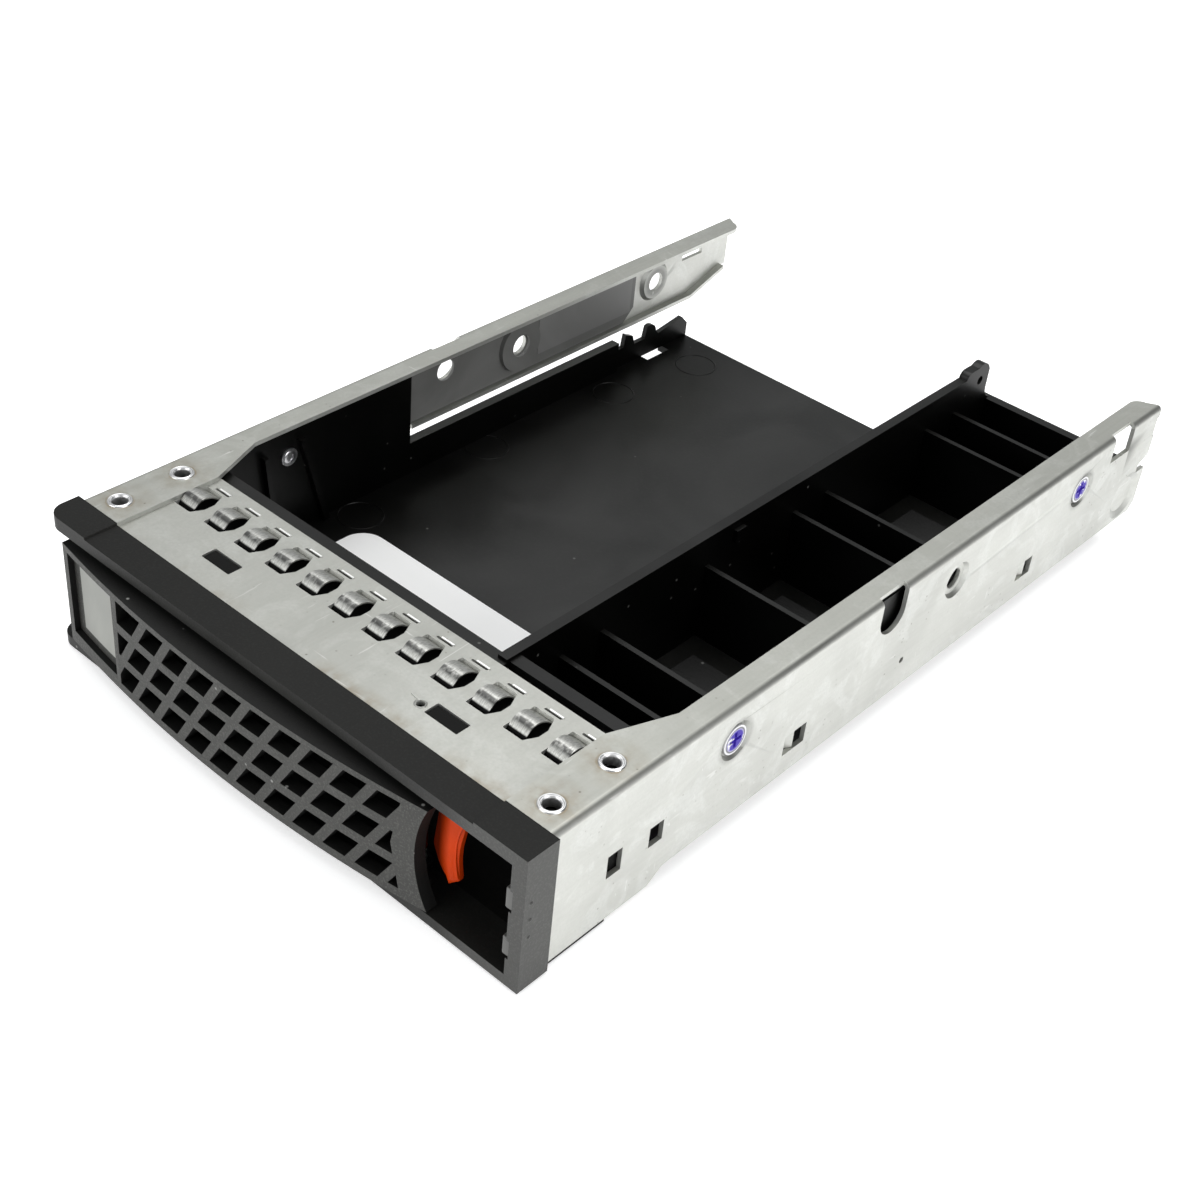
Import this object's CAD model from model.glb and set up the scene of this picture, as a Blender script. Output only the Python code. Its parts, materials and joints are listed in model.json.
# %% [markdown]
# # A hot swap drive caddy, dressed in Blender
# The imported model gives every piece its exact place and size. This lesson loads it, softens its
# sharp edges, rebuilds the small pressed and bent pieces that a viewer looks at first, and gives
# every piece a finish made only from nodes. The first step is always to load that frame.

# %% Load the frame and measure it
import json
import math

import bmesh
import bpy
from mathutils import Matrix, Vector


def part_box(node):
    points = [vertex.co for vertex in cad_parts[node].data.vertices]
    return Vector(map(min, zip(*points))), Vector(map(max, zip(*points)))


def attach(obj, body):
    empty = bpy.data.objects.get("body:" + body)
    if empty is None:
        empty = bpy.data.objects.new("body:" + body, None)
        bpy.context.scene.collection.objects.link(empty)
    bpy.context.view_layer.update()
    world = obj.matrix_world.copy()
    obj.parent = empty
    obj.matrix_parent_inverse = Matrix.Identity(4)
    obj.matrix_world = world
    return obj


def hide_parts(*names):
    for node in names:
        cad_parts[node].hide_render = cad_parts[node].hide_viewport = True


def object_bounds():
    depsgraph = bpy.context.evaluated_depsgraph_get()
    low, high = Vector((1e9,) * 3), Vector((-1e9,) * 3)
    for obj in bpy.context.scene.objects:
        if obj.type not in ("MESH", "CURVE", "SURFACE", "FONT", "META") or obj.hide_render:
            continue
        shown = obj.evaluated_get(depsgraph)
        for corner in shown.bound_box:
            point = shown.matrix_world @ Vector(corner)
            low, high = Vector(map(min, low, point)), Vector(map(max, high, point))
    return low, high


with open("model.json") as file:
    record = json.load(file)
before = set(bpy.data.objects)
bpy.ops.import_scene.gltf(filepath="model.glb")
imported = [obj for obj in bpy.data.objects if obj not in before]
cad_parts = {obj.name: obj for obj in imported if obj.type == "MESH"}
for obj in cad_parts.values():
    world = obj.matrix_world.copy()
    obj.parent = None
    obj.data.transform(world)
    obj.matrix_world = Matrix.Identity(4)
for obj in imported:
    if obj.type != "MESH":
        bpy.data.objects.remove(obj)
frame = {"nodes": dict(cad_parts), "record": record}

MM = 0.001
cad_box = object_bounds()
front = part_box("bezel")[0][1]
rail_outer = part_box("right_rail")[1][0]
plate_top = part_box("bridge_plate")[1][2]
latch_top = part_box("release_latch")[1][2]
strip_low, strip_high = (Vector(corner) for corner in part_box("spring_finger_strip"))
bodies = {node: body for body, names in frame["record"]["behaviour"]["bodies"].items()
          for node in names}
print("whole box in mm:", [[round(value / MM, 1) for value in corner] for corner in cad_box])

# %% [markdown]
# The camera stands to the right of the caddy and well above it, close enough for the rails to
# converge. Its turn and place are given as angles and a distance from the bezel's front plane,
# and the rows of its matrix are built from them, because that keeps the small roll exact.

# %% Camera
turn = math.radians(38.39)
rise = math.radians(37.0)
roll = math.radians(6.11)
back = Vector((math.sin(turn) * math.cos(rise), -math.cos(turn) * math.cos(rise), math.sin(rise)))
level = Vector((math.cos(turn), math.sin(turn), 0))
upright = back.cross(level)
right = level * math.cos(roll) + upright * math.sin(roll)
up = upright * math.cos(roll) - level * math.sin(roll)
place = Vector((0.1623, front - 0.1287, 0.1966))
camera_data = bpy.data.cameras.new("camera")
camera_data.lens = 54.9
camera_data.sensor_width = 36.0
camera_data.clip_start = 0.01
camera = bpy.data.objects.new("camera", camera_data)
camera.matrix_world = Matrix((right, up, back)).transposed().to_4x4()
camera.location = place
bpy.context.scene.collection.objects.link(camera)
bpy.context.scene.camera = camera
print("camera at", [round(value, 3) for value in place])

# %% [markdown]
# A finish is a node tree that ends in one Principled shader. Small helpers keep each recipe
# short: some make a pattern, such as noise, specks or the way a face points, and the others
# blend and combine patterns. Object coordinates are in metres, so a noise scale of 1000 has
# cells of 1 mm.


# %% Helpers for node finishes
def start_finish(name, colour, roughness, metallic=0.0):
    material = bpy.data.materials.new(name)
    material.use_nodes = True
    shader = material.node_tree.nodes["Principled BSDF"]
    shader.inputs["Base Color"].default_value = (*colour, 1)
    shader.inputs["Roughness"].default_value = roughness
    shader.inputs["Metallic"].default_value = metallic
    return material, material.node_tree, shader


def add_node(tree, kind, inputs=None, **settings):
    node = tree.nodes.new("ShaderNode" + kind)
    for name, value in settings.items():
        setattr(node, name, value)
    for name, value in (inputs or {}).items():
        if hasattr(value, "is_output"):
            tree.links.new(value, node.inputs[name])
        else:
            node.inputs[name].default_value = value
    return node


def stretched(tree, scale, turn_z=0.0):
    """Object coordinates, stretched and turned, for grain that runs one way."""
    source = add_node(tree, "TexCoord").outputs["Object"]
    mapping = add_node(tree, "Mapping", {"Vector": source, "Scale": scale,
                                         "Rotation": (0, 0, turn_z)})
    return mapping.outputs["Vector"]


def noise(tree, vector, scale, detail=3.0, distortion=0.0):
    made = add_node(tree, "TexNoise", {"Vector": vector, "Scale": scale, "Detail": detail,
                                       "Distortion": distortion})
    return made.outputs["Fac"]


def between(tree, value, low, high, new_low=0.0, new_high=1.0):
    made = add_node(tree, "MapRange", {"Value": value, "From Min": low, "From Max": high,
                                       "To Min": new_low, "To Max": new_high})
    return made.outputs["Result"]


def blended(tree, factor, first, second):
    """Mix of two colours, each a socket or three numbers."""
    made = add_node(tree, "Mix", data_type="RGBA")
    tree.links.new(factor, made.inputs["Factor"])
    for name, colour in (("A", first), ("B", second)):
        socket = [entry for entry in made.inputs if entry.name == name and entry.type == "RGBA"][0]
        if hasattr(colour, "is_output"):
            tree.links.new(colour, socket)
        else:
            socket.default_value = (*colour, 1)
    return [entry for entry in made.outputs if entry.type == "RGBA"][0]


def blended_product(tree, colour, factor):
    """A colour socket multiplied by three numbers."""
    made = add_node(tree, "VectorMath", operation="MULTIPLY")
    tree.links.new(colour, made.inputs[0])
    made.inputs[1].default_value = factor
    return made.outputs["Vector"]


def arithmetic(tree, operation, first, second):
    made = add_node(tree, "Math", operation=operation)
    for index, value in enumerate((first, second)):
        if hasattr(value, "is_output"):
            tree.links.new(value, made.inputs[index])
        else:
            made.inputs[index].default_value = value
    return made.outputs["Value"]


def facing(tree, axis, low, high):
    """0 to 1 as a face turns towards one axis of the piece."""
    source = add_node(tree, "TexCoord").outputs["Normal"]
    parts = add_node(tree, "SeparateXYZ", {"Vector": source})
    return between(tree, parts.outputs[axis], low, high)


def along(tree, axis, low, high):
    """0 to 1 between two levels of one coordinate, in metres."""
    source = add_node(tree, "TexCoord").outputs["Object"]
    parts = add_node(tree, "SeparateXYZ", {"Vector": source})
    return between(tree, parts.outputs[axis], low, high)


def specks(tree, vector, scale, size, share):
    """1 on a few small dots: the share of cells that have one, and the size of a dot."""
    cells = add_node(tree, "TexVoronoi", {"Vector": vector, "Scale": scale})
    lucky = add_node(tree, "SeparateColor", {"Color": cells.outputs["Color"]})
    picked = between(tree, lucky.outputs["Red"], 1 - share, 1 - share + 0.01)
    dot = between(tree, cells.outputs["Distance"], size, size * 0.4)
    return arithmetic(tree, "MULTIPLY", picked, dot)


def bumped(tree, shader, height, strength, distance):
    made = add_node(tree, "Bump", {"Height": height, "Strength": strength, "Distance": distance})
    tree.links.new(made.outputs["Normal"], shader.inputs["Normal"])


print("helpers ready")

# %% [markdown]
# Zinc plated sheet isn't a mirror. Its rolling marks run along the sheet, its sheen changes from
# place to place, handling leaves short bright scratches, and grease browns the metal round the
# eyelets. The rolling marks are a stretched noise, and the scratches are noise cut off near its
# top. The browned rings come from the distance to an eyelet, and the dark dishes from the
# distance to a screw.

# %% Sheet metal finish
eyelet_low, eyelet_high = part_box("right_eyelets")
eyelet_half = (eyelet_high[0] - eyelet_low[0]) / 2
eyelet_x = eyelet_low[0] + eyelet_half
eyelet_rows = (eyelet_low[1] + eyelet_half, eyelet_high[1] - eyelet_half)


def distance_to(tree, spot, places):
    """Distance from a spot to the nearest of several places."""
    distances = []
    for target in places:
        made = add_node(tree, "VectorMath", operation="DISTANCE")
        tree.links.new(spot.outputs["Vector"], made.inputs[0])
        made.inputs[1].default_value = target
        distances.append(made.outputs["Value"])
    return arithmetic(tree, "MINIMUM", *distances)


def near_eyelets(tree):
    """1 at an eyelet's rim and 0 a few millimetres away, on both sides of the caddy."""
    source = add_node(tree, "TexCoord").outputs["Object"]
    mirrored = add_node(tree, "VectorMath", operation="ABSOLUTE")
    tree.links.new(source, mirrored.inputs[0])
    apart = add_node(tree, "SeparateXYZ", {"Vector": mirrored.outputs["Vector"]})
    plain = add_node(tree, "SeparateXYZ", {"Vector": source})
    spot = add_node(tree, "CombineXYZ", {"X": apart.outputs["X"], "Y": plain.outputs["Y"]})
    nearest = distance_to(tree, spot, [(eyelet_x, row, 0) for row in eyelet_rows])
    ring = between(tree, nearest, 2.25 * MM, 2.75 * MM, 1.6, 0.0)
    stain = arithmetic(tree, "MAXIMUM", between(tree, nearest, 2.4 * MM, 6.0 * MM, 0.9, 0.0), ring)
    return arithmetic(tree, "MULTIPLY", stain, facing(tree, "Z", 0.6, 0.9))


screw_rows = [sum(corner[1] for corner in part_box(node)) / 2
              for node in ("right_front_screw", "right_rear_screw")]
screw_level = sum(corner[2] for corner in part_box("right_front_screw")) / 2


def from_screws(tree):
    """Distance to the nearest screw's axis, on either wall."""
    source = add_node(tree, "TexCoord").outputs["Object"]
    parts = add_node(tree, "SeparateXYZ", {"Vector": source})
    spot = add_node(tree, "CombineXYZ", {"Y": parts.outputs["Y"], "Z": parts.outputs["Z"]})
    return distance_to(tree, spot, [(0, row, screw_level) for row in screw_rows])


def dish_shade(tree):
    """The dished ring that a screw head sinks into is darker than the wall."""
    ring = between(tree, from_screws(tree), 2.7 * MM, 4.4 * MM, 0.75, 0.0)
    outward = arithmetic(tree, "MAXIMUM", facing(tree, "X", 0.5, 0.8),
                         facing(tree, "X", -0.5, -0.8))
    return arithmetic(tree, "MULTIPLY", ring, outward)


def front_grime(tree):
    """A stain that follows the front edge of the bridge plate in patches."""
    close = along(tree, "Y", front + 9.5 * MM, front + 6.3 * MM)
    patchy = between(tree, noise(tree, stretched(tree, (1, 0.4, 1)), 75, 3, 0.6), 0.44, 0.60)
    return arithmetic(tree, "MULTIPLY", close, patchy)


def at_bend(tree):
    """1 on the rounded bend between a rail's flange and its wall."""
    outward = add_node(tree, "VectorMath", operation="ABSOLUTE")
    tree.links.new(add_node(tree, "TexCoord").outputs["Normal"], outward.inputs[0])
    parts = add_node(tree, "SeparateXYZ", {"Vector": outward.outputs["Vector"]})
    both = arithmetic(tree, "MULTIPLY", parts.outputs["X"], parts.outputs["Z"])
    return between(tree, both, 0.18, 0.46, 0.0, 0.6)


def sheet_finish(name, colour, roughness, marks, grime):
    material, tree, shader = start_finish(name, colour, roughness, 0.82)
    plain = stretched(tree, (1, 1, 1))
    rolled = noise(tree, stretched(tree, (1, 0.03, 1)), 1300, 4)
    cloudy = noise(tree, plain, 42, 5, 0.6)
    mottled = noise(tree, plain, 420, 3)
    speckled = noise(tree, plain, 2100, 2)
    dark = [value * 0.86 for value in colour]
    marbled = noise(tree, plain, 95, 6, 2.2)
    brown = (colour[0] * 0.62, colour[1] * 0.53, colour[2] * 0.43)
    tone = blended(tree, between(tree, cloudy, 0.35, 0.7), colour, dark)
    tone = blended(tree, between(tree, marbled, 0.5, 0.62, 0.0, 0.3), tone, (0.80, 0.81, 0.79))
    tone = blended(tree, between(tree, speckled, 0.35, 0.7, 0.0, 0.45), tone, dark)
    grimy = arithmetic(tree, "MULTIPLY", grime(tree), between(tree, mottled, 0.32, 0.62))
    tone = blended(tree, arithmetic(tree, "MULTIPLY", grimy, marks), tone, brown)
    pits = arithmetic(tree, "MULTIPLY", specks(tree, plain, 900, 0.22, 0.16),
                      arithmetic(tree, "ADD", between(tree, cloudy, 0.5, 0.66, 0.0, 0.7), grimy))
    tone = blended(tree, pits, tone, [value * 0.35 for value in brown])
    shade = arithmetic(tree, "MAXIMUM", at_bend(tree), dish_shade(tree))
    tone = blended(tree, shade, tone, [value * 0.3 for value in colour])
    tone = blended(tree, facing(tree, "Z", 0.6, 0.95), tone,
                   blended_product(tree, tone, (0.72, 0.72, 0.70)))
    long_scratch = noise(tree, stretched(tree, (1, 0.07, 0.3), 0.9), 1400, 2, 0.4)
    cross_scratch = noise(tree, stretched(tree, (0.08, 1, 0.3), 0.5), 1300, 2, 0.4)
    scratch = arithmetic(tree, "MAXIMUM", between(tree, long_scratch, 0.69, 0.74),
                         between(tree, cross_scratch, 0.70, 0.75))
    scratch = arithmetic(tree, "MULTIPLY", scratch, between(tree, cloudy, 0.45, 0.6, 0.0, 0.35))
    tone = blended(tree, scratch, tone, (0.93, 0.93, 0.92))
    tree.links.new(tone, shader.inputs["Base Color"])
    rough = between(tree, rolled, 0.3, 0.7, roughness - 0.06, roughness + 0.08)
    rough = arithmetic(tree, "ADD", rough, between(tree, cloudy, 0.3, 0.7, -0.05, 0.07))
    tree.links.new(rough, shader.inputs["Roughness"])
    height = arithmetic(tree, "ADD", arithmetic(tree, "MULTIPLY", rolled, 0.4),
                        arithmetic(tree, "MULTIPLY", mottled, 0.6))
    bumped(tree, shader, height, 0.12, 0.03 * MM)
    return material


sheet_metal = sheet_finish("zinc_plated_sheet", (0.66, 0.665, 0.63), 0.46, 0.6, near_eyelets)
plate_metal = sheet_finish("bridge_sheet", (0.67, 0.675, 0.645), 0.46, 0.8, front_grime)
print("sheet finishes:", sheet_metal.name, plate_metal.name)

# %% [markdown]
# Bright metal on the fingers, eyelets and screws is smoother. The spring fingers carry wear
# streaks where they rub in the bay; the screws have a dry blue patch of thread lock on the head.


# %% Bright metal finishes
def bright_finish(name, colour, roughness, streak, darkest=0.6, relief=0.1):
    material, tree, shader = start_finish(name, colour, roughness, 1.0)
    drawn = noise(tree, stretched(tree, streak), 1800, 3)
    cloudy = noise(tree, stretched(tree, (1, 1, 1)), 350, 3)
    dark = [value * darkest for value in colour]
    tone = blended(tree, between(tree, drawn, 0.45, 0.75), colour, dark)
    tree.links.new(tone, shader.inputs["Base Color"])
    rough = between(tree, cloudy, 0.3, 0.7, roughness - 0.07, roughness + 0.14)
    tree.links.new(rough, shader.inputs["Roughness"])
    bumped(tree, shader, drawn, relief, 0.02 * MM)
    return material


def finger_finish():
    """Light slopes with a dark streaked band before the crest, where the plating has gone."""
    material, tree, shader = start_finish("spring_sheet", (0.62, 0.62, 0.59), 0.42, 1.0)
    drawn = noise(tree, stretched(tree, (1, 0.14, 0.14)), 8000, 3)
    patchy = noise(tree, stretched(tree, (1, 0.5, 0.5)), 1500, 2)
    tone = blended(tree, between(tree, drawn, 0.45, 0.64), (0.60, 0.60, 0.57), (0.36, 0.36, 0.34))
    before = along(tree, "Y", front + 18.9 * MM, front + 19.3 * MM)
    after = along(tree, "Y", front + 20.2 * MM, front + 19.9 * MM)
    band = arithmetic(tree, "MULTIPLY", before, after)
    band = arithmetic(tree, "MULTIPLY", band, between(tree, patchy, 0.32, 0.52, 0.35, 1.0))
    tone = blended(tree, band, tone, (0.13, 0.13, 0.125))
    bar = arithmetic(tree, "MULTIPLY", along(tree, "Y", front + 24.0 * MM, front + 24.2 * MM),
                     along(tree, "Z", plate_top - 0.1 * MM, plate_top - 0.3 * MM))
    sunk = along(tree, "Z", plate_top + 0.02 * MM, plate_top - 0.2 * MM)
    ahead = along(tree, "Y", front + 19.5 * MM, front + 18.8 * MM)
    sunk = arithmetic(tree, "MULTIPLY", sunk, ahead)
    tone = blended(tree, arithmetic(tree, "MAXIMUM", bar, sunk), tone, (0.006, 0.006, 0.006))
    hem = arithmetic(tree, "MULTIPLY", along(tree, "Y", front + 24.5 * MM, front + 24.6 * MM),
                     along(tree, "Z", plate_top - 0.1 * MM, plate_top))
    tone = blended(tree, hem, tone, (0.95, 0.95, 0.93))
    tree.links.new(tone, shader.inputs["Base Color"])
    tree.links.new(between(tree, drawn, 0.3, 0.7, 0.34, 0.50), shader.inputs["Roughness"])
    bumped(tree, shader, drawn, 0.08, 0.02 * MM)
    return material


finger_metal = finger_finish()
spring_metal = bright_finish("bright_spring_wire", (0.78, 0.77, 0.73), 0.26, (1, 0.1, 1))
eyelet_metal = bright_finish("nickel_plated_steel", (0.80, 0.80, 0.80), 0.30, (1, 1, 1), 0.85, 0.02)


def screw_finish():
    material, tree, shader = start_finish("screw_steel_with_patch", (0.75, 0.75, 0.77), 0.3, 1.0)
    plain = stretched(tree, (1, 1, 1))
    spotted = between(tree, noise(tree, plain, 700, 2, 0.4), 0.41, 0.46)
    on_head = along(tree, "X", rail_outer - 1.0 * MM, rail_outer - 0.7 * MM)
    from_axis = from_screws(tree)
    middle = between(tree, from_axis, 1.7 * MM, 2.1 * MM, 1.0, 0.0)
    patch = arithmetic(tree, "MULTIPLY", arithmetic(tree, "MULTIPLY", spotted, on_head), middle)
    groove = arithmetic(tree, "MULTIPLY", between(tree, from_axis, 1.9 * MM, 2.05 * MM),
                        between(tree, from_axis, 2.35 * MM, 2.2 * MM))
    metal = blended(tree, groove, (0.75, 0.75, 0.77), (0.18, 0.18, 0.19))
    tone = blended(tree, patch, metal, (0.055, 0.022, 0.44))
    tree.links.new(tone, shader.inputs["Base Color"])
    tree.links.new(between(tree, patch, 0, 1, 1.0, 0.0), shader.inputs["Metallic"])
    tree.links.new(between(tree, patch, 0, 1, 0.28, 0.55), shader.inputs["Roughness"])
    bumped(tree, shader, noise(tree, plain, 1500, 3), 0.2, 0.05 * MM)
    return material


screw_metal = screw_finish()
print("bright finishes:", spring_metal.name, eyelet_metal.name, screw_metal.name)

# %% [markdown]
# Moulded plastic shows a fine grain, a slow change of sheen and dust. Grain is a dense noise in
# the bump, dust is the few cells of a Voronoi pattern that lie near their point and are picked
# by their random colour. One recipe with different numbers serves the bezel, lever and tray.


# %% Plastic finishes
def plastic_finish(name, colour, roughness, grain, grain_depth, dust=0.5, sheen_shift=0.08,
                   dull=None, grain_tone=0.0, gloss=0.5, worn_gloss=0.2, dust_share=0.06):
    """Dull is a function that gives 1 where the surface is darker and loses its gloss."""
    material, tree, shader = start_finish(name, colour, roughness)
    plain = stretched(tree, (1, 1, 1))
    shader.inputs["Specular IOR Level"].default_value = gloss
    grained = noise(tree, plain, grain, 2)
    cloudy = noise(tree, plain, 38, 4, 0.8)
    light = [min(1.0, value * 1.5 + 0.006) for value in colour]
    tone = blended(tree, between(tree, cloudy, 0.4, 0.75), colour, light)
    lit_grain = between(tree, grained, 0.5, 0.68, 0.0, grain_tone)
    tone = blended(tree, lit_grain, tone, [value * 3.2 for value in colour])
    if dull:
        hidden = dull(tree)
        tone = blended(tree, hidden, tone, [value * 0.16 for value in colour])
        shine = between(tree, hidden, 0, 1, gloss, worn_gloss)
        tree.links.new(shine, shader.inputs["Specular IOR Level"])
    fine_dust = arithmetic(tree, "MULTIPLY", specks(tree, plain, 330, 0.11, dust_share), dust)
    coarse_dust = arithmetic(tree, "MULTIPLY", specks(tree, plain, 120, 0.05, 0.05), dust)
    dusty = arithmetic(tree, "MAXIMUM", fine_dust, coarse_dust)
    tone = blended(tree, dusty, tone, (0.42, 0.42, 0.40))
    tree.links.new(tone, shader.inputs["Base Color"])
    rough = between(tree, cloudy, 0.3, 0.7, roughness - sheen_shift, roughness + sheen_shift)
    tree.links.new(rough, shader.inputs["Roughness"])
    bumped(tree, shader, grained, grain_depth, 0.06 * MM)
    return material


def bezel_dull(tree):
    """The top, the faces that look left and the sleeve behind the bezel."""
    top = arithmetic(tree, "MULTIPLY", facing(tree, "Z", 0.5, 0.9), 0.85)
    left = facing(tree, "X", -0.5, -0.9)
    behind = along(tree, "Y", front + 6.6 * MM, front + 7.2 * MM)
    shaded_end = along(tree, "X", 43 * MM, 37 * MM)
    shaded_end = arithmetic(tree, "MULTIPLY", shaded_end, 0.62)
    darker = arithmetic(tree, "MAXIMUM", arithmetic(tree, "MAXIMUM", top, left), behind)
    return arithmetic(tree, "MAXIMUM", darker, shaded_end)


def lever_dull(tree):
    """Every face of the lever but its front."""
    return facing(tree, "Y", -0.75, -0.35)


def tray_dull(tree):
    """The upright walls of the tray, and its floor where it nears the left and front walls."""
    walls = facing(tree, "Z", 0.75, 0.4)
    left = along(tree, "X", -18 * MM, -45 * MM)
    near = along(tree, "Y", front + 66 * MM, front + 28 * MM)
    low = along(tree, "Z", 5.0 * MM, 4.5 * MM)
    floor_shade = arithmetic(tree, "MULTIPLY", arithmetic(tree, "MAXIMUM", left, near), 0.85)
    rims = arithmetic(tree, "MULTIPLY", along(tree, "Z", 9 * MM, 12 * MM), 0.55)
    floor_shade = arithmetic(tree, "MULTIPLY", floor_shade, low)
    return arithmetic(tree, "MAXIMUM", arithmetic(tree, "MAXIMUM", walls, rims), floor_shade)


def tab_dull(tree):
    """The left edge of the orange tab, which turns away from the light."""
    return along(tree, "X", 36.4 * MM, 34.1 * MM)


bezel_plastic = plastic_finish("bezel_plastic", (0.040, 0.040, 0.037), 0.50, 2700, 0.35, 0.6,
                               0.05, bezel_dull, 0.3, 0.5, 0.08)
lever_plastic = plastic_finish("lever_plastic", (0.030, 0.030, 0.027), 0.60, 3000, 0.6, 0.8,
                               0.05, lever_dull, 0.7, 0.5, 0.3, 0.3)
tray_plastic = plastic_finish("tray_plastic", (0.0056, 0.0056, 0.0048), 0.36, 1500, 0.14, 0.25,
                              0.08, tray_dull, 0.3)
liner_plastic = plastic_finish("liner_plastic", (0.15, 0.15, 0.145), 0.4, 2500, 0.2, 0.3)
orange_plastic = plastic_finish("orange_plastic", (0.62, 0.048, 0.001), 0.42, 3500, 0.15, 0.0, 0.08,
                                tab_dull, 0.0, 0.10, 0.05)
guide_plastic = plastic_finish("smoked_guide", (0.10, 0.10, 0.095), 0.3, 3000, 0.05, 0.1)
panel_film = plastic_finish("panel_film", (0.30, 0.305, 0.28), 0.5, 2600, 0.15, 0.15)
rough_patch = plastic_finish("rough_patch", (0.010, 0.010, 0.0095), 0.75, 900, 0.9, 0.6, 0.05)
white_paper = plastic_finish("white_paper", (0.97, 0.97, 0.96), 0.6, 1500, 0.08, 0.0)
grey_film = plastic_finish("grey_film", (0.20, 0.20, 0.195), 0.45, 2200, 0.1, 0.2)
print("plastic finishes made")

# %% [markdown]
# A CAD solid has knife edges, and real pressings and mouldings don't: a thin bright line runs
# along every edge. The CAD mesh is loose triangles, so a copy of it is welded, its flat faces are
# made whole again, and only the edges where faces meet at an angle are bevelled.


# %% Soften a CAD piece
def mark_sharp(made, smooth_angle, flat_sheet):
    """Sharp edges by angle; on flat sheet, every edge of a large face is one as well."""
    for edge in made.edges:
        turn = edge.calc_face_angle(math.pi) if len(edge.link_faces) == 2 else math.pi
        edge.smooth = turn < math.radians(smooth_angle)
        if flat_sheet and turn > math.radians(2):
            if max(face.calc_area() for face in edge.link_faces) > 20 * MM * MM:
                edge.smooth = False


def add_piece(made, name, body, material, smooth_angle=40.0, flat_sheet=False):
    """Turn a bmesh into a piece that rides on a body and shades like a moulded or pressed one."""
    mark_sharp(made, smooth_angle, flat_sheet)
    mesh = bpy.data.meshes.new(name)
    made.to_mesh(mesh)
    made.free()
    piece = bpy.data.objects.new(name, mesh)
    bpy.context.scene.collection.objects.link(piece)
    mesh.materials.append(material)
    for polygon in mesh.polygons:
        polygon.use_smooth = True
    evened = piece.modifiers.new("evened_normals", "WEIGHTED_NORMAL")
    evened.keep_sharp = True
    evened.weight = 100
    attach(piece, body)
    return piece


def finish_piece(made, name, node, material, smooth_angle=40.0):
    """A piece that stands for a CAD node and rides with its body."""
    piece = add_piece(made, name, bodies[node], material, smooth_angle,
                      node.endswith("_rail") or node == "bridge_plate")
    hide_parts(node)
    return piece


def welded_copy(node):
    made = bmesh.new()
    made.from_mesh(frame["nodes"][node].data)
    made.transform(frame["nodes"][node].matrix_world)
    bmesh.ops.remove_doubles(made, verts=made.verts, dist=0.002 * MM)
    bmesh.ops.dissolve_limit(made, angle_limit=math.radians(0.6), verts=made.verts,
                             edges=made.edges)
    return made


def bevel_edges(made, edges, width, segments):
    bmesh.ops.bevel(made, geom=edges, offset=width, offset_type="OFFSET", affect="EDGES",
                    segments=segments, profile=0.5, material=-1, clamp_overlap=True)


def softened(node, material, width, extra=None, sharper_than=28.0):
    """A CAD piece with its edges bevelled by a width in millimetres, and more mesh joined to it."""
    made = welded_copy(node)
    limit = math.radians(sharper_than)
    sharp = [edge for edge in made.edges
             if len(edge.link_faces) == 2 and edge.calc_face_angle(0) > limit]
    bevel_edges(made, sharp, width * MM, 2)
    if extra:
        extra(made)
    piece = finish_piece(made, node + "_softened", node, material)
    print(piece.name, len(piece.data.polygons), "faces")
    return piece


print("softening ready")

# %% [markdown]
# A punched opening never has a knife-sharp corner. Before the general softening, the short edges
# that run straight through a sheet are found by their direction and length, and rounded with a
# larger radius. The same helper rounds the corners of the moulded grille.


# %% Round the corners of openings
def through_edges(made, axis, longest):
    """Edges that run along one axis and are no longer than a sheet is thick."""
    found = []
    for edge in made.edges:
        run = edge.verts[1].co - edge.verts[0].co
        others = [abs(run[index]) for index in range(3) if index != axis]
        if max(others) < 0.02 * MM and run.length < longest and len(edge.link_faces) == 2:
            if edge.calc_face_angle(0) > math.radians(40):
                found.append(edge)
    return found


def punched(node, material, axes, longest, radius, width, extra=None):
    """A CAD piece with rounded openings and softened edges, and more mesh joined to it."""
    made = welded_copy(node)
    for axis in axes:
        bevel_edges(made, through_edges(made, axis, longest), radius, 3)
    sharp = [edge for edge in made.edges
             if len(edge.link_faces) == 2 and edge.calc_face_angle(0) > math.radians(35)]
    bevel_edges(made, sharp, width, 2)
    if extra:
        extra(made)
    piece = finish_piece(made, node + "_pressed", node, material)
    print(piece.name, len(piece.data.polygons), "faces")
    return piece


def joined(made, part):
    """Add one bmesh to another."""
    kept = bpy.data.meshes.new("part")
    part.to_mesh(kept)
    part.free()
    made.from_mesh(kept)
    bpy.data.meshes.remove(kept)


def spun(points, centre, axis, steps=40):
    """Closed ring from an outline of (radius, height) points, round an axis through centre."""
    made = bmesh.new()
    side = Vector((0, 1, 0)) if axis.x else Vector((1, 0, 0))
    corners = [made.verts.new(centre + side * radius + axis * height) for radius, height in points]
    edges = [made.edges.new((corners[index], corners[(index + 1) % len(corners)]))
             for index in range(len(corners))]
    bmesh.ops.spin(made, geom=corners + edges, cent=centre, axis=axis, angle=math.tau,
                   steps=steps, use_merge=True)
    bmesh.ops.remove_doubles(made, verts=made.verts, dist=0.001 * MM)
    bmesh.ops.recalc_face_normals(made, faces=made.faces)
    return made


def plate(corners, thickness, direction):
    """Flat sheet of any outline, thickened one way."""
    made = bmesh.new()
    face = made.faces.new([made.verts.new(corner) for corner in corners])
    grown = bmesh.ops.extrude_face_region(made, geom=[face])
    moved = [item for item in grown["geom"] if isinstance(item, bmesh.types.BMVert)]
    bmesh.ops.translate(made, verts=moved, vec=direction * thickness)
    bmesh.ops.recalc_face_normals(made, faces=made.faces)
    return made


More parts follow.
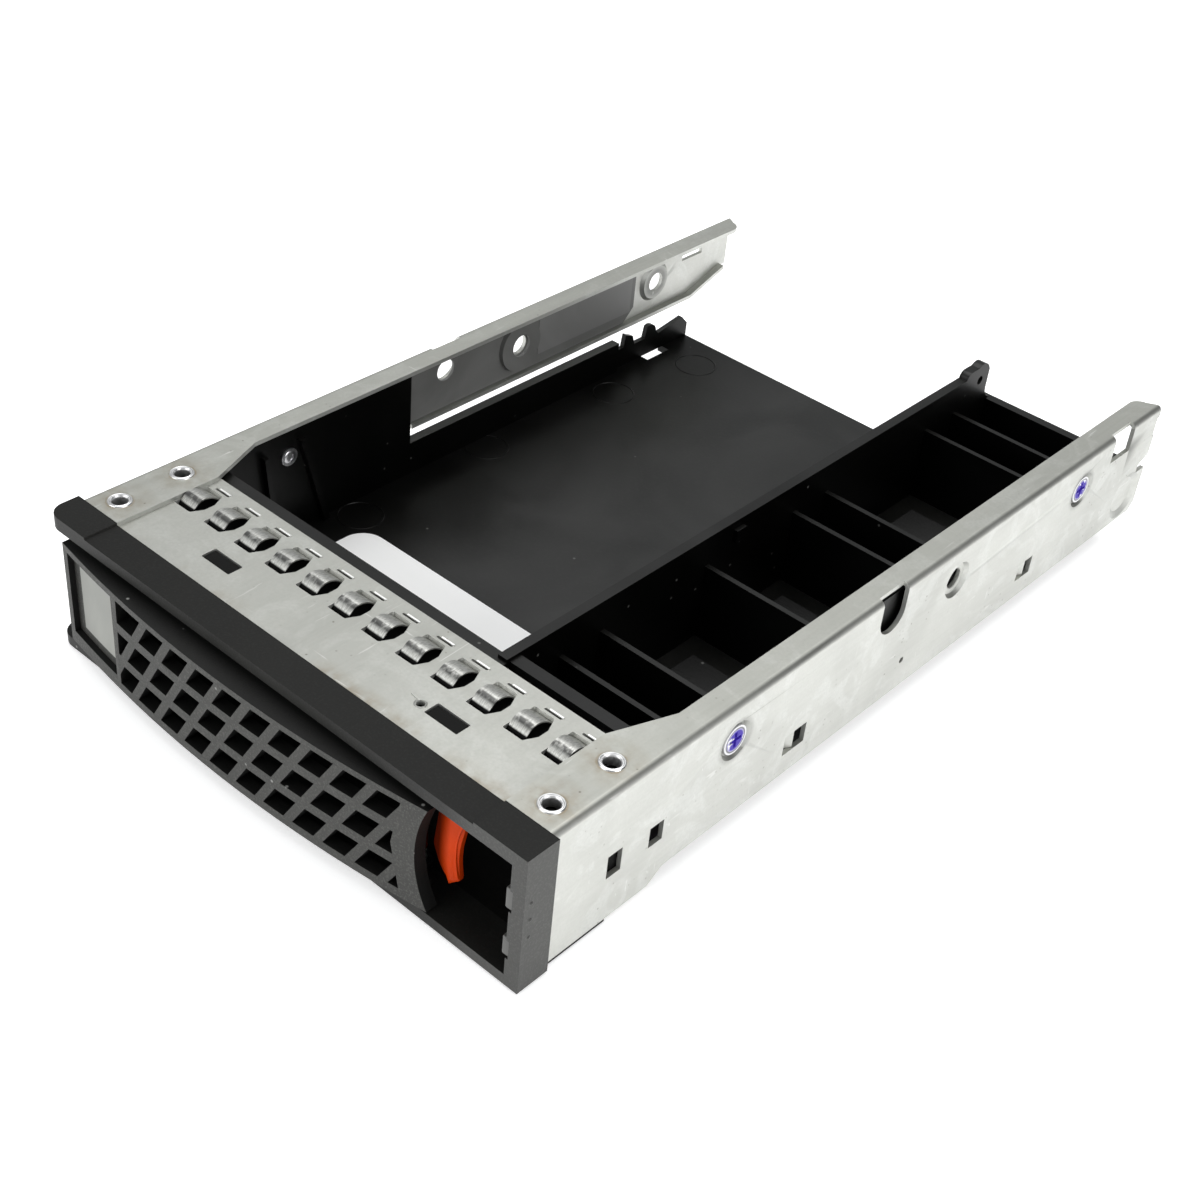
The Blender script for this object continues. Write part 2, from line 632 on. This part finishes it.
def at(x, y, z):
    """A place in millimetres: from the middle, behind the bezel's front and above its base."""
    return Vector((x * MM, front + y * MM, z * MM))


def in_metres(points):
    """An outline of (radius, height) points, from millimetres."""
    return [(radius * MM, height * MM) for radius, height in points]


SIDEWAYS = Vector((1, 0, 0))
UPWARDS = Vector((0, 0, 1))
thread_place = (51.5, 106, 18.7)  # first turn of the thread in the middle hole
thread_step = 0.25
pierced_hole = (20.2, 12.1)


def rail_details(made):
    """Flaps bent in from two slots and the thread in the middle hole of the right rail."""
    for start, low, high in ((59.9, 7.1, 10.8), (129.3, 6.9, 10.3)):
        corners = [at(51.75, start + 3.2, low), at(50.65, start + 1.2, low),
                   at(50.95, start + 1.0, low), at(52.0, start + 2.9, low)]
        joined(made, plate(corners, (high - low) * MM, UPWARDS))
    x, y, z = thread_place
    for number in range(4):
        ring = in_metres([(2.12, -0.08), (1.92, 0.0), (2.12, 0.08), (2.25, 0.0)])
        joined(made, spun(ring, at(x - thread_step * number, y, z), SIDEWAYS, 32))


def pierced_rim(made):
    """The raised rim and lip that piercing leaves round the small hole in the bridge."""
    rim = in_metres([(0.72, -0.1), (0.78, 0.12), (0.9, 0.17), (1.02, 0.1), (1.08, -0.1)])
    top = plate_top / MM
    joined(made, spun(rim, at(*pierced_hole, top), UPWARDS, 28))
    corners = [at(17.6, 12.6, top - 0.1), at(19.6, 12.35, top - 0.1), at(19.7, 13.05, top - 0.1),
               at(17.9, 13.25, top - 0.1)]
    lip = plate(corners, 0.24 * MM, UPWARDS)
    bevel_edges(lip, list(lip.edges), 0.08 * MM, 2)
    joined(made, lip)


punched("left_rail", sheet_metal, (0,), 0.9 * MM, 0.45 * MM, 0.09 * MM)
punched("right_rail", sheet_metal, (0,), 0.9 * MM, 0.45 * MM, 0.09 * MM, rail_details)
punched("bridge_plate", plate_metal, (2,), 0.9 * MM, 0.4 * MM, 0.08 * MM, pierced_rim)
punched("lever", lever_plastic, (1,), 2.5 * MM, 0.42 * MM, 0.16 * MM)


def jamb_pips(made):
    """Three small pips on the right side of the bezel."""
    for level in (10.5, 13.9, 17.1):
        outline = in_metres([(0.02, 0.16), (0.2, 0.13), (0.36, -0.05), (0.02, -0.05)])
        joined(made, spun(outline, at(53.1, 1.5, level), SIDEWAYS, 16))


softened("bezel", bezel_plastic, 0.25, jamb_pips)
softened("rail_liner", liner_plastic, 0.1)
softened("upper_light_guide", guide_plastic, 0.3)
softened("lower_light_guide", guide_plastic, 0.3)

# %% [markdown]
# The tray is one moulding. Its floor carries the faint rings that ejector pins leave, and the
# cells of its trough have rough patches. The screws get real threads, which the eye finds at once
# inside the tray: a zigzag outline turned round the screw's axis.

# %% Tray marks and threaded screws
tray_floor = 2.5
ring_places = ((-45.9, 93.3), (-44.5, 59.0), (-43.5, 128.0), (-39.8, 150.5))


def tray_marks(made):
    for across, depth in ring_places:
        ring = in_metres([(4.05, -0.05), (4.15, 0.10), (4.35, 0.10), (4.5, -0.05)])
        joined(made, spun(ring, at(across, depth, tray_floor), UPWARDS, 40))


softened("drive_blank", tray_plastic, 0.22, tray_marks)
patch_base = 4.05 - 0.1
patch_left = 24.5
patch_right = 45.5
for number, (start, end) in enumerate(((54.5, 72.0), (80.5, 97.0), (116.0, 138.0))):
    corners = [at(patch_left, start, patch_base), at(patch_right, start, patch_base),
               at(patch_right, end, patch_base), at(patch_left, end, patch_base)]
    pad = plate(corners, 0.3 * MM, UPWARDS)
    bevel_edges(pad, list(pad.edges), 0.12 * MM, 2)
    add_piece(pad, f"rough_patch_{number + 1}", "carrier", rough_patch)


def threaded(node, side):
    """The CAD screw, with a thread cut round the part of it inside the tray."""
    low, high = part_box(node)
    middle = Vector((0, (low[1] + high[1]) / 2, (low[2] + high[2]) / 2))
    tip = min(abs(low[0]), abs(high[0]))

    def add_thread(made):
        outline = [(0.02 * MM, 0.6 * MM), (0.55 * MM, 0.5 * MM), (0.7 * MM, 0), (1.15 * MM, 0),
                   (1.3 * MM, 0.12 * MM)]
        for turn_number in range(4):
            start = (0.3 + 0.6 * turn_number) * MM
            outline += [(1.84 * MM, start + 0.3 * MM), (1.45 * MM, start + 0.6 * MM)]
        outline += [(0.02 * MM, 2.9 * MM)]
        axis = Vector((side, 0, 0))
        joined(made, spun(outline, middle + axis * (tip - 0.12 * MM), axis, 32))

    softened(node, screw_metal, 0.06, add_thread)


threaded("left_front_screw", -1)
threaded("right_front_screw", 1)
threaded("right_rear_screw", 1)

# %% [markdown]
# The contact fingers are thin sprung sheet that rises at the front, rolls over a crest and comes
# down to the bar. Each one is a strip of quads along its own curve, slightly crowned across, and
# thickened into a solid sheet. Behind each finger a small hem stands up through a slit.

# %% Spring fingers
pitch = 7.45
count = 12
finger_width = 3.6
crown = 0.04  # how far a finger's edges lie below its middle
gauge = 0.25
bar_front = 23.7
hem_front = 24.72
hem_rear = 25.08
crest = strip_high.z / MM
finger_curve = ((17.62, crest - 2.08), (17.9, crest - 1.62), (18.5, crest - 0.95),
                (19.1, crest - 0.42), (19.5, crest - 0.17), (19.9, crest - 0.05),
                (20.4, crest - 0.0), (20.9, crest - 0.04), (21.5, crest - 0.18),
                (22.1, crest - 0.45), (22.7, crest - 0.85), (23.2, crest - 1.3),
                (23.6, crest - 1.66), (24.2, crest - 1.85), (25.2, crest - 1.85))
columns = 5
made = bmesh.new()
for number in range(count):
    middle = (number - (count - 1) / 2) * pitch
    grid = []
    for depth, height in finger_curve:
        row = []
        for column in range(columns):
            share = column / (columns - 1) - 0.5
            drop = crown * (2 * share) ** 2
            row.append(made.verts.new(at(middle + share * finger_width, depth, height - drop)))
        grid.append(row)
    for first, second in zip(grid, grid[1:]):
        for column in range(columns - 1):
            made.faces.new((first[column], first[column + 1], second[column + 1], second[column]))
bmesh.ops.recalc_face_normals(made, faces=made.faces)
if sum(face.normal.z for face in made.faces) < 0:
    bmesh.ops.reverse_faces(made, faces=made.faces)
grown = bmesh.ops.extrude_face_region(made, geom=list(made.faces))
lowered = [item for item in grown["geom"] if isinstance(item, bmesh.types.BMVert)]
bmesh.ops.translate(made, verts=lowered, vec=(0, 0, -gauge * MM))
bmesh.ops.recalc_face_normals(made, faces=made.faces)
bar_size = (strip_high.x - strip_low.x, strip_high.y - front - bar_front * MM, gauge * MM)
bar = bmesh.new()
bmesh.ops.create_cube(bar, size=1.0)
bmesh.ops.scale(bar, verts=bar.verts, vec=bar_size)
bmesh.ops.translate(bar, verts=bar.verts, vec=(0, strip_high.y - bar_size[1] / 2,
                                               strip_low.z + bar_size[2] / 2))
joined(made, bar)
hem_base = plate_top / MM - 0.3
for number in range(count):
    middle = (number - (count - 1) / 2) * pitch
    left = middle + 0.1
    right_end = middle + 2.85
    corners = [at(left, hem_front, hem_base), at(right_end, hem_front, hem_base),
               at(right_end, hem_rear, hem_base), at(left, hem_rear, hem_base)]
    hem = plate(corners, 0.5 * MM, UPWARDS)
    bevel_edges(hem, list(hem.edges), 0.05 * MM, 1)
    joined(made, hem)
fingers = finish_piece(made, "rolled_fingers", "spring_finger_strip", finger_metal, 35)
print(fingers.name, len(fingers.data.polygons), "faces")

# %% [markdown]
# An eyelet is a turned shape: a short tube whose upper end is rolled outwards into a grooved
# lip. Its outline is drawn once as radius and height, and a full turn makes the solid.

# %% Flared eyelets
lip = eyelet_high[2] / MM
flared = ((1.3, lip - 2.0), (1.3, lip - 0.5), (1.36, lip - 0.2), (1.47, lip - 0.08),
          (1.56, lip - 0.15), (1.66, lip - 0.15), (1.76, lip - 0.02), (1.88, lip),
          (2.0, lip - 0.08), (2.07, lip - 0.22), (2.07, lip - 0.4), (1.7, lip - 0.4),
          (1.7, lip - 2.0))
for node, side in (("left_eyelets", -1), ("right_eyelets", 1)):
    both = bmesh.new()
    for row in eyelet_rows:
        joined(both, spun(in_metres(flared), Vector((side * eyelet_x, row, 0)), UPWARDS, 48))
    piece = finish_piece(both, node + "_rolled", node, eyelet_metal, 50)
    print(piece.name, len(piece.data.polygons), "faces")

# %% [markdown]
# The orange thumb tab is a curved blade. Levels from its tip to its top give the left edge, a
# ridge and the right edge; joining them level by level makes the two facets that catch the light.

# %% Orange latch with its blade
top = latch_top / MM
blade_levels = ((7.6, 36.2, 36.6, 36.9), (8.6, 34.9, 36.9, 38.0), (9.8, 34.0, 36.8, 38.0),
                (11.2, 33.4, 36.6, 37.8), (12.9, 33.1, 36.5, 37.7), (14.6, 33.1, 36.6, 37.8),
                (16.4, 33.3, 36.8, 38.1), (18.4, 33.6, 37.2, 38.5), (top, 33.9, 37.6, 38.9))


def add_blade(made):
    blade = bmesh.new()
    rings = []
    for level, left, ridge, right_edge in blade_levels:
        rings.append([blade.verts.new(at(*corner, level)) for corner in
                      ((left, 3.1), ((left + ridge) / 2, 2.72), (ridge, 2.6), (right_edge, 3.3),
                       (right_edge, 4.05), (left, 4.05))])
    for first, second in zip(rings, rings[1:]):
        for index in range(len(first)):
            after = (index + 1) % len(first)
            blade.faces.new((first[index], first[after], second[after], second[index]))
    blade.faces.new(rings[0][::-1])
    blade.faces.new(rings[-1])
    bmesh.ops.recalc_face_normals(blade, faces=blade.faces)
    joined(made, blade)


punched("release_latch", orange_plastic, (), 1.0 * MM, 0.1 * MM, 0.12 * MM, add_blade)

# %% [markdown]
# The labels, the pins and the latch's spring already have the right form, so they keep their CAD
# mesh and only get a finish.

# %% Keep the simple pieces as they are
plain_pieces = {"lever_label": panel_film, "blank_label": white_paper, "rail_label": grey_film,
                "lever_hinge_pin": eyelet_metal, "latch_pivot_pin": eyelet_metal,
                "latch_spring": spring_metal}
for node, material in plain_pieces.items():
    mesh = frame["nodes"][node].data
    mesh.materials.clear()
    mesh.materials.append(material)
print(len(plain_pieces), "pieces keep their CAD mesh")

# %% [markdown]
# The stage is a pale floor just under the caddy and three soft lamps. The camera, and mirrors in
# the metal, see the floor as white, while the light that reaches the caddy stays moderate.

# %% Stage and lamps
floor_level = cad_box[0][2] - 0.0005
stage_mesh = bmesh.new()
bmesh.ops.create_grid(stage_mesh, x_segments=1, y_segments=1, size=6.0)
bmesh.ops.translate(stage_mesh, verts=stage_mesh.verts, vec=(0, 0, floor_level))
floor_data = bpy.data.meshes.new("floor")
stage_mesh.to_mesh(floor_data)
stage_mesh.free()
floor = bpy.data.objects.new("floor", floor_data)
bpy.context.scene.collection.objects.link(floor)
floor_finish, floor_tree, floor_shader = start_finish("pale_floor", (0.86, 0.86, 0.86), 0.9)
seen = add_node(floor_tree, "LightPath")
direct = arithmetic(floor_tree, "MAXIMUM", seen.outputs["Is Camera Ray"],
                    seen.outputs["Is Glossy Ray"])
white = add_node(floor_tree, "Emission", {"Color": (1, 1, 1, 1), "Strength": 0.55})
lit = add_node(floor_tree, "AddShader")
floor_tree.links.new(floor_shader.outputs["BSDF"], lit.inputs[0])
floor_tree.links.new(white.outputs["Emission"], lit.inputs[1])
chosen = add_node(floor_tree, "MixShader", {"Fac": direct})
floor_tree.links.new(floor_shader.outputs["BSDF"], chosen.inputs[1])
floor_tree.links.new(lit.outputs["Shader"], chosen.inputs[2])
floor_out = floor_tree.nodes["Material Output"]
floor_tree.links.new(chosen.outputs["Shader"], floor_out.inputs["Surface"])
floor_data.materials.append(floor_finish)

world = bpy.data.worlds.new("studio")
bpy.context.scene.world = world
world.use_nodes = True
world_tree = world.node_tree
background = world_tree.nodes["Background"]
sky = add_node(world_tree, "TexCoord").outputs["Generated"]
toward = add_node(world_tree, "VectorMath", operation="DOT_PRODUCT")
world_tree.links.new(sky, toward.inputs[0])
toward.inputs[1].default_value = Vector((0.60, 0.63, 0.50)).normalized()
dim = between(world_tree, toward.outputs["Value"], 0.80, 0.97)
studio_tone = blended(world_tree, dim, (0.80, 0.82, 0.83), (0.10, 0.10, 0.10))
world_seen = add_node(world_tree, "LightPath")
tone = blended(world_tree, world_seen.outputs["Is Camera Ray"], studio_tone, (1, 1, 1))
power = between(world_tree, world_seen.outputs["Is Camera Ray"], 0, 1, 0.5, 1.0)
world_tree.links.new(tone, background.inputs["Color"])
world_tree.links.new(power, background.inputs["Strength"])


def soft_lamp(name, location, aim, size, power):
    data = bpy.data.lights.new(name, "AREA")
    data.shape = "RECTANGLE"
    data.size = size[0]
    data.size_y = size[1]
    data.energy = power
    lamp = bpy.data.objects.new(name, data)
    lamp.location = location
    lamp.rotation_euler = (Vector(aim) - Vector(location)).to_track_quat("-Z", "Y").to_euler()
    bpy.context.scene.collection.objects.link(lamp)


soft_lamp("overhead", (-0.1, 0.15, 0.7), (0, 0, 0), (0.7, 0.7), 3.5)
soft_lamp("right_side", (0.7, -0.05, 0.3), (0, 0, 0), (0.5, 0.5), 2.2)
soft_lamp("front", (-0.25, -0.7, 0.3), (0, 0, 0), (0.6, 0.4), 1.9)
bpy.context.scene.view_settings.view_transform = "Standard"
print("stage and lamps ready")
